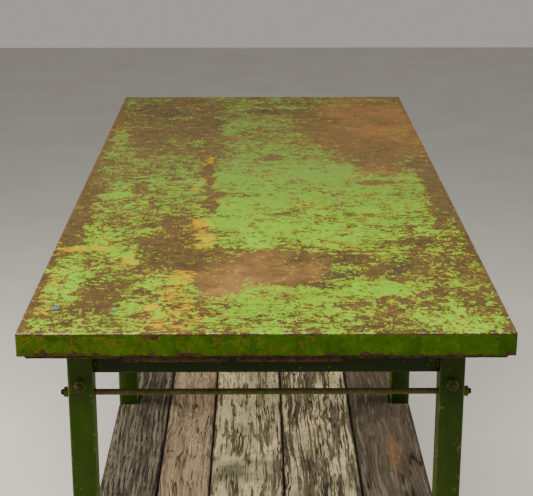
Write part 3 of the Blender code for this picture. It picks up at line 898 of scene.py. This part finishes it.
def build_plank(name, node, material, seed, cell_x=0.0035, cell_y=0.008, wear=0.0018,
                relief=0.0007, notches=()):
    """A board along Y, its section walked round and carried along, worn inwards only."""
    low, high = box_of(node)
    sx, sz, out_x, out_z = plank_section(low, high, cell_x)
    count = len(sx)
    rows = int(round((high[1] - low[1]) / cell_y))
    first = low[1] + PLANK_END
    last = high[1] - PLANK_END
    ys = np.r_[low[1], low[1] + PLANK_END * 0.3, first, np.linspace(first, last, rows + 1)[1:-1],
               last, high[1] - PLANK_END * 0.3, high[1]]
    py, index = np.meshgrid(ys, np.arange(count), indexing="ij")
    px, pz, ax, az = sx[index], sz[index], out_x[index], out_z[index]
    push, crack = plank_relief(px, py, pz, ax, az, seed, wear, relief)
    # the ends are rounded over, and sawn a little unevenly
    push[[0, -1]] += 0.0020
    push[[1, -2]] += 0.0007
    px = px - ax * push
    pz = pz - az * push
    end_cut = 0.0006 + 0.0010 * fractal(px * 60, pz * 90, seed + 41, 3)
    py[:3] += end_cut[:3]
    py[-3:] -= end_cut[-3:]

    points = np.stack([px.ravel(), py.ravel(), pz.ravel()], axis=1)
    side_count = len(points)
    faces = skin(len(ys), count, closed=False)
    caps = []
    for number, start in enumerate((0, side_count - count)):
        ring = range(start, start + count)
        inner = points[ring] + (points[ring].mean(axis=0) - points[ring]) * 0.12
        inner[:, 1] = points[ring][:, 1]
        caps.append(inner)
        cap = list(range(side_count + number * count, side_count + (number + 1) * count))
        strip = bridge(cap, ring)
        if number == 1:
            strip = [face[::-1] for face in strip]
            cap.reverse()
        faces += strip
        faces.append(cap)
    points = np.concatenate([points, *caps])
    end = np.zeros(len(points))
    end[:count] = 1.0
    end[side_count - count:] = 1.0
    cracked = np.zeros(len(points))
    cracked[:side_count] = (crack * smoothstep(0.5, 0.9, np.abs(az))).ravel()
    # dirt and painted shade darken the two long joints
    from_side = np.minimum(points[:, 0] - low[0], high[0] - points[:, 0])
    ragged = 0.0022 * fractal(points[:, 1] * 60, points[:, 0] * 40, seed + 51, 3)
    seam_dirt_and_shade = 1 - smoothstep(0.0012, 0.0050, from_side + ragged)
    piece = make_piece(name, points, faces, material, node,
                       {"end": end, "crack": cracked, "seam_dirt_and_shade": seam_dirt_and_shade})
    for notch_low, notch_high in notches:
        cut_block(piece, notch_low, notch_high)


def cut_block(piece, low, high):
    """Cut a square-cornered notch."""
    bm = bmesh.new()
    bmesh.ops.create_cube(bm, size=1.0)
    size = Vector(high) - Vector(low)
    bmesh.ops.transform(bm, matrix=Matrix.Translation((Vector(high) + Vector(low)) / 2)
                        @ Matrix.Diagonal((*size, 1.0)), verts=bm.verts)
    apply_cut(piece, bm)


def cut_round(piece, centre, axis):
    """Cut a rod's hole along X or Y."""
    turn = Matrix.Rotation(math.radians(90), 4, {"X": "Y", "Y": "X"}[axis])
    bm = bmesh.new()
    bmesh.ops.create_cone(bm, cap_ends=True, segments=32, radius1=ROD_HOLE, radius2=ROD_HOLE,
                          depth=ROD_HOLE_CUT, matrix=Matrix.Translation(centre) @ turn)
    apply_cut(piece, bm)


def apply_cut(piece, bm):
    """Take a closed shape away from a piece, and keep only the result."""
    mesh = bpy.data.meshes.new("cutter")
    bm.to_mesh(mesh)
    bm.free()
    cutter = bpy.data.objects.new("cutter", mesh)
    bpy.context.scene.collection.objects.link(cutter)
    boolean = piece.modifiers.new("Cut", "BOOLEAN")
    boolean.operation = "DIFFERENCE"
    boolean.solver = "EXACT"
    boolean.object = cutter
    graph = bpy.context.evaluated_depsgraph_get()
    result = bpy.data.meshes.new_from_object(piece.evaluated_get(graph), depsgraph=graph)
    piece.modifiers.remove(boolean)
    piece.data = result
    bpy.data.objects.remove(cutter, do_unlink=True)


# --------------------------------------------------------- paint on the frames
def frame_paint(name="frame_paint", wear=0.0, painted_shade=0.0, edge_glint=0.0):
    """Dark green paint over rust, chipped most along the corners; painted_shade darkens all of it
    as painted shade.
    """
    m = Material(name)
    edge = m.attribute("edge")
    tone = m.noise(7.0, 5.0, 0.6, 0.4)
    streak = m.noise(34.0, 6.0, 0.6, 0.3, m.place((1.0, 1.0, 0.16)))
    green = m.mix(m.remap(tone, 0.36, 0.64), FRAME_GREEN_DEEP, FRAME_GREEN)
    green = m.lay(green, m.remap(streak, 0.40, 0.70), 0.45, FRAME_WORN)
    grime = m.step(m.noise(150.0, 6.0, 0.65), 0.52, 0.68)
    green = m.lay(green, grime, 0.28, FRAME_GRIME_AND_SHADE)
    # painted shade: the whole paint is pulled towards the grime colour, for parts that stand in
    # shade
    if painted_shade > 0.0:
        green = m.mix(painted_shade, green, FRAME_GRIME_AND_SHADE)
    # painted highlight: the edges are lightened evenly, for the glinting edges of the nuts
    if edge_glint > 0.0:
        green = m.mix(m.mul(m.step(edge, 0.45, 0.85), edge_glint), green, FRAME_CHIP_EDGE_AND_GLINT)
    chips = m.weighted((m.noise(45.0, 9.0, 0.68, 0.5), 0.5), (m.noise(210.0, 6.0, 0.7), 0.5))
    worn = m.add(m.remap(chips, 0.36, 0.64), m.add(m.mul(edge, 0.24), wear))
    bare = m.step(worn, 0.95, 0.98)
    fringe = m.sub(m.step(worn, 0.88, 0.92), bare)
    rust_tone = m.noise(90.0, 7.0, 0.7)
    rust = m.mix(m.remap(rust_tone, 0.34, 0.66), FRAME_RUST_DEEP, FRAME_RUST)
    colour = m.mix(m.mul(fringe, 0.7), green, FRAME_CHIP_EDGE_AND_GLINT)
    colour = m.mix(bare, colour, rust)
    dust = m.noise(18.0, 6.0, 0.6)
    colour = m.mix(m.mul(m.step(dust, 0.55, 0.75), 0.22 - 0.2 * painted_shade), colour, FRAME_DUST)
    roughness = m.add(m.remap(bare, 0.0, 1.0, 0.38, 0.72), m.mul(m.sub(grime, 0.5), 0.10))
    ripples = m.noise(65.0, 4.0, 0.5)
    height = m.sub(m.mul(ripples, 0.00018), m.mul(bare, 0.00016))
    height = m.add(height, m.mul(m.mul(bare, rust_tone), 0.0002))
    return m.finish(colour, roughness, m.bump(height, 0.8), specular=0.16)


def section_loop(half_x, half_y, radius):
    """A rounded rectangle, and how near each point is to a corner's middle."""
    arcs = 5
    flats = 4
    corners = [(sign_x * (half_x - radius), sign_y * (half_y - radius))
               for sign_x, sign_y in ((1, 1), (-1, 1), (-1, -1), (1, -1))]
    points = []
    edge = []
    for index, (cx, cy) in enumerate(corners):
        for k in range(arcs + 1):
            angle = math.radians(90 * index + 90 * k / arcs)
            points.append((cx + radius * math.cos(angle), cy + radius * math.sin(angle)))
            edge.append(1 - abs(2 * k / arcs - 1) * 0.6)
        x0, y0 = points[-1]
        x1 = corners[(index + 1) % 4][0] + radius * math.cos(angle)
        y1 = corners[(index + 1) % 4][1] + radius * math.sin(angle)
        for k in range(1, flats):
            share = k / flats
            points.append((x0 + (x1 - x0) * share, y0 + (y1 - y0) * share))
            edge.append(0.15 if k in (1, flats - 1) else 0.0)
    return np.array(points), np.array(edge)


def build_tube(name, node, material, axis, wall, corner, seed):
    """A square or oblong tube with open ends, slightly uneven flats and real wall."""
    centre, size = centre_and_size(node)
    a, b, c = AXES[axis]
    outer, edge = section_loop(size[a] / 2, size[b] / 2, corner)
    inner, _ = section_loop(size[a] / 2 - wall, size[b] / 2 - wall, max(corner - wall, 0.0006))
    end = size[c] / 2
    arris = 0.0005
    rings = max(6, int(round(size[c] / 0.02)))
    stations = np.linspace(-end, end, rings + 1)
    stations[[0, -1]] += (arris, -arris)
    rim = outer * (1 - arris / size[a])
    profile = [(rim, -end)] + [(outer, station) for station in stations] + [(rim, end)]
    profile += [(inner, station) for station in (end, end / 2, -end / 2, -end)]
    points = []
    edges = []
    for number, (loop, station) in enumerate(profile):
        u, v = loop.T
        if 0 < number <= rings + 1:
            dent = 0.5 + fractal(u * 30 + station * 9, v * 30 + station * 5, seed, 2)
            shrink = 1 - 0.00018 * dent / np.hypot(u, v)
            u = u * shrink
            v = v * shrink
        points.append(ring_at(centre, axis, u, v, station))
        edges.append(np.maximum(edge, abs(abs(station) - end) < 0.002))
    return make_piece(name, np.concatenate(points), skin(len(profile), len(outer)), material, node,
                      {"edge": np.concatenate(edges)})


# --------------------------------------------------------- rods, nuts, washers
def rod_steel():
    """Plain steel rod: dull, rusted brown above, with green paint carried over it."""
    m = Material("rod_steel")
    thread = m.attribute("thread")
    upward = m.separate(m.node("ShaderNodeNewGeometry").outputs["Normal"], "Z")
    above = m.add(m.mul(upward, 0.22), m.noise(16.0, 8.0, 0.65, 0.3))
    rust_tone = m.noise(140.0, 6.0, 0.7)
    rust = m.mix(m.remap(rust_tone, 0.34, 0.66), ROD_RUST_DEEP, ROD_RUST)
    green = m.mix(m.remap(rust_tone, 0.34, 0.66), ROD_GREEN_DEEP, ROD_GREEN)
    colour = m.mix(m.step(above, 0.50, 0.66), green, rust)
    bare = m.step(m.noise(60.0, 6.0, 0.65), 0.60, 0.68)
    colour = m.lay(colour, bare, 0.5, ROD_BARE)
    colour = m.lay(colour, thread, 0.9, THREAD)
    normal = m.bump(m.mul(rust_tone, 0.00015), 0.7)
    return m.finish(colour, m.remap(bare, 0.0, 1.0, 0.66, 0.50), normal,
                    metallic=m.mul(m.mul(bare, 0.4), m.sub(1.0, thread)), specular=0.22)


def build_rod(name, node, axis, material):
    """A round rod; both ends carry a real helical thread."""
    centre, size = centre_and_size(node)
    a, _, c = AXES[axis]
    radius = size[a] / 2
    length = size[c]
    sides = 32
    depth = THREAD_PITCH * 0.42
    fine = np.arange(0.0, THREAD_LENGTH, THREAD_PITCH / 6)
    middle = np.linspace(THREAD_LENGTH + 0.002, length - THREAD_LENGTH - 0.002, 60)
    stations = np.r_[fine, middle, length - fine[::-1]] - length / 2
    angle = TURN * np.arange(sides) / sides
    points = []
    thread = []
    for station in stations:
        from_end = length / 2 - abs(station)
        threaded = from_end < THREAD_LENGTH
        helix = np.abs((station / THREAD_PITCH - angle / TURN) % 1.0 * 2 - 1)
        groove = depth * helix if threaded else 0.0001
        taper = 0.0012 * (1 - min(from_end / 0.0018, 1.0))
        bow = 0.00012 * math.sin(station * 9)
        reach = radius - groove - taper - abs(bow)
        points.append(ring_at(centre, axis, reach * np.cos(angle), reach * np.sin(angle) + bow,
                              station))
        thread.append(np.full(sides, float(threaded)))
    faces = skin(len(stations), sides, closed=False)
    faces.append(list(reversed(range(sides))))
    faces.append(list(range((len(stations) - 1) * sides, len(stations) * sides)))
    make_piece(name, np.concatenate(points), faces, material, node,
               {"thread": np.concatenate(thread)})


def build_turned(name, node, axis, pattern, sides, material):
    """A piece with a hole, from rings of reach, level and edge wear round its axis."""
    centre, _ = centre_and_size(node)
    angle = TURN * np.arange(sides) / sides
    points = [ring_at(centre, axis, reach * np.cos(angle), reach * np.sin(angle), level)
              for reach, level, _ in pattern]
    edges = [np.full(sides, edge) for _, _, edge in pattern]
    make_piece(name, np.concatenate(points), skin(len(pattern), sides), material, node,
               {"edge": np.concatenate(edges)})


def build_nut(name, node, axis, material):
    """A hexagon nut with turned-off corners and a countersunk bore."""
    _, size = centre_and_size(node)
    a, b, c = AXES[axis]
    half = size[c] / 2
    flat = min(size[a], size[b]) / 2
    sides = 96
    sector = math.radians(60)
    first = sector / 2 if size[a] > size[b] else sector
    angle = TURN * np.arange(sides) / sides
    hexagon = flat / np.cos((angle + first) % sector - sector / 2)
    chamfer = np.maximum(hexagon - flat, 0.0) * math.tan(math.radians(30)) + 0.0002
    corner = 0.9 * smoothstep(0.6, 1.0, (hexagon - flat) / (hexagon.max() - flat))
    half_pattern = (
        (NUT_BORE, half - 0.0007, 0.16),
        (NUT_BORE + 0.0006, half, 0.72),
        (flat * 0.96, half, 0.40),
        (hexagon * 0.985, half - chamfer * 0.55, 0.72),
        (hexagon - 0.0001, half - chamfer - 0.0003, 0.72),
    )
    pattern = [(reach, -level, np.maximum(edge, corner)) for reach, level, edge in half_pattern]
    pattern += [(reach, -level, edge) for reach, level, edge in reversed(pattern)]
    build_turned(name, node, axis, pattern, sides, material)


def build_washer(name, node, axis, material):
    """A flat washer with slightly rounded edges."""
    _, size = centre_and_size(node)
    half = size[AXES[axis][2]] / 2
    reach = size[AXES[axis][0]] / 2
    pattern = ((NUT_BORE, -half * 0.5, 0.8), (NUT_BORE + 0.0003, -half, 0.4),
               (reach - 0.0004, -half, 0.5), (reach, -half * 0.4, 1.0),
               (reach, half * 0.4, 1.0), (reach - 0.0004, half, 0.8),
               (NUT_BORE + 0.0003, half, 0.4), (NUT_BORE, half * 0.5, 0.8))
    build_turned(name, node, axis, pattern, 64, material)


# ------------------------------------------------------------------- assemble
def build_legs(paint, right_shaded_paint):
    for f, frame_name in enumerate(FRAMES):
        cross, _ = centre_and_size("cross_rod_" + frame_name)
        for s, side in enumerate(SIDES):
            along, _ = centre_and_size("side_rod_" + side)
            node = "leg_%s_%s" % (frame_name, side)
            leg = build_tube("bench_" + node, node, (paint, right_shaded_paint)[s], "Z", LEG_WALL,
                             LEG_CORNER, LEG_SEED + 10 * f + s)
            middle, _ = centre_and_size(node)
            cut_round(leg, (middle[0], cross[1], cross[2]), "X")
            cut_round(leg, (along[0], middle[1], along[2]), "Y")


def build_rails(paint, rail_shaded_paint):
    for f, frame_name in enumerate(FRAMES):
        for kind, shade in (("cross_rail", rail_shaded_paint), ("shelf_bearer", paint)):
            node = "%s_%s" % (kind, frame_name)
            build_tube("bench_" + node, node, shade, "X", RAIL_WALL, RAIL_CORNER, RAIL_SEED + f)
    for s, side in enumerate(SIDES):
        for bay in ("near", "far"):
            node = "side_rail_%s_%s" % (bay, side)
            build_tube("bench_" + node, node, paint, "Y", RAIL_WALL, RAIL_CORNER,
                       SIDE_RAIL_SEED + s)


def build_fasteners(glinting_nut_paint, rod):
    for frame_name in FRAMES:
        node = "cross_rod_" + frame_name
        build_rod("bench_" + node, node, "X", rod)
        for side in SIDES:
            node = "cross_nut_%s_%s" % (frame_name, side)
            build_nut("bench_" + node, node, "X", glinting_nut_paint)
    for side in SIDES:
        node = "side_rod_" + side
        build_rod("bench_" + node, node, "Y", rod)
        for bay in ("near", "far"):
            node = "side_washer_%s_%s" % (bay, side)
            build_washer("bench_" + node, node, "Y", glinting_nut_paint)
            node = "side_nut_%s_%s" % (bay, side)
            build_nut("bench_" + node, node, "Y", glinting_nut_paint)


def leg_notches(side, plank_node):
    """The low and high corners of the notches round one side's legs."""
    plank_low, plank_high = box_of(plank_node)
    notches = []
    for frame_name in FRAMES:
        low, high = box_of("leg_%s_%s" % (frame_name, side))
        notches.append(((*(low[:2] - NOTCH_CLEARANCE), plank_low[2] - 0.02),
                        (*(high[:2] + NOTCH_CLEARANCE), plank_high[2] + 0.02)))
    return notches


def build_shelf():
    woods = (
        plank_wood("wood_grey_brown", (0.285, 0.248, 0.170), (0.105, 0.088, 0.056),
                   (0.012, 0.009, 0.004), 1.0, figure=True),
        plank_wood("wood_pink_brown", (0.640, 0.480, 0.290), (0.350, 0.256, 0.155),
                   (0.060, 0.040, 0.020), 2.0),
        plank_wood("wood_cream", (0.300, 0.270, 0.150), (0.180, 0.160, 0.085),
                   (0.050, 0.042, 0.020), 3.0, coat=(0.860, 0.710, 0.405), coat_amount=0.67),
        plank_wood("wood_cream_grey", (0.310, 0.262, 0.155), (0.160, 0.134, 0.076),
                   (0.028, 0.022, 0.011), 4.0, coat=(0.840, 0.690, 0.400), coat_amount=0.56),
        plank_wood("wood_dark_brown", (0.200, 0.160, 0.108), (0.124, 0.096, 0.062),
                   (0.042, 0.032, 0.018), 5.0,
                   stain=((0.256, -0.37, 0.402), (0.018, 0.12, 0.05), (0.330, 0.160, 0.055))),
    )
    slots = ("plank_grey_brown", "plank_pink_brown", "plank_cream", "plank_cream_grey",
             "plank_dark_brown")
    notched = {0: "left", 4: "right"}
    for index, (wood, slot) in enumerate(zip(woods, slots)):
        node = "shelf_plank_%d" % (index + 1)
        notches = leg_notches(notched[index], node) if index in notched else ()
        build_plank("bench_" + node, node, wood, PLANK_SEED + 9 * index, notches=notches)


def build_boards():
    wood = plank_wood("wood_top_boards", (0.190, 0.098, 0.044), (0.105, 0.050, 0.021),
                      (0.036, 0.018, 0.007), 7.0)
    for number in range(1, 6):
        node = "top_board_%d" % number
        build_plank("bench_" + node, node, wood, BOARD_SEED + 9 * number,
                    cell_x=0.006, cell_y=0.015, wear=0.0006, relief=0.0005)


# ------------------------------------------------------------------- the studio
CAMERA_PLACE = (-0.0125, -2.798, 1.602)
CAMERA_PITCH = 17.74        # degrees below level
CAMERA_YAW = 0.374          # degrees towards +X
CAMERA_LENS = 91.08         # on a 36 mm wide sensor
CAMERA_SENSOR = 36.0
FLOOR_PALE = (0.54, 0.52, 0.48)
FLOOR_DEEP = (0.50, 0.48, 0.44)
SKY = (1.0, 0.965, 0.91, 1.0)
SKY_STRENGTH = 0.40
# name, place, target, size, watts, colour
LIGHTS = (
    ("key", (-0.30, -1.5, 3.0), (0.0, -0.5, 0.86), (1.4, 1.4), 95.0, (1.0, 0.975, 0.93)),
    ("side_left", (-2.2, 0.0, 1.0), (0.0, -0.25, 0.4), (1.3, 0.9), 82.0, (1.0, 0.97, 0.92)),
    ("side_right", (2.2, 0.0, 1.0), (0.0, -0.25, 0.4), (1.3, 0.9), 50.0, (1.0, 0.97, 0.92)),
)


def area_light(name, place, target, size, watts, colour):
    data = bpy.data.lights.new(name, "AREA")
    data.shape = "RECTANGLE"
    data.size, data.size_y = size
    data.energy = watts
    data.color = colour
    light = bpy.data.objects.new(name, data)
    light.location = place
    light.rotation_euler = (Vector(target) - Vector(place)).to_track_quat("-Z", "Y").to_euler()
    bpy.context.scene.collection.objects.link(light)


def build_floor():
    m = Material("studio_floor")
    tone = m.mix(m.remap(m.noise(3.0, 5.0, 0.5), 0.3, 0.7), FLOOR_DEEP, FLOOR_PALE)
    bpy.ops.mesh.primitive_plane_add(size=14.0, location=(0, 0, 0))
    floor = bpy.context.object
    floor.name = "floor"
    floor.data.materials.append(m.finish(tone, 0.75))


def build_lights():
    world = bpy.data.worlds.new("studio")
    world.use_nodes = True
    background = world.node_tree.nodes["Background"]
    background.inputs["Color"].default_value = SKY
    background.inputs["Strength"].default_value = SKY_STRENGTH
    bpy.context.scene.world = world
    for light in LIGHTS:
        area_light(*light)


def build_camera():
    data = bpy.data.cameras.new("camera")
    data.lens = CAMERA_LENS
    data.sensor_width = CAMERA_SENSOR
    camera = bpy.data.objects.new("camera", data)
    camera.location = CAMERA_PLACE
    camera.rotation_euler = (math.radians(90 - CAMERA_PITCH), 0.0, math.radians(-CAMERA_YAW))
    bpy.context.scene.collection.objects.link(camera)
    bpy.context.scene.camera = camera


def main():
    build_floor()
    build_lights()
    build_camera()
    build_worktop(worktop_paint())
    build_boards()
    build_shelf()
    paint = frame_paint()
    # painted shade: the right-hand legs get a darker copy of the paint, for the weaker light on
    # that side
    build_legs(paint, frame_paint("right_leg_shaded_paint", painted_shade=0.30))
    # painted shade: the cross rails get the darkest copy of the paint, for the shade under the top
    build_rails(paint, frame_paint("rail_shaded_paint", painted_shade=0.75))
    # painted highlight: the nuts' edges are lightened as glints
    build_fasteners(frame_paint("glinting_nut_paint", wear=0.02, edge_glint=0.55), rod_steel())


main()
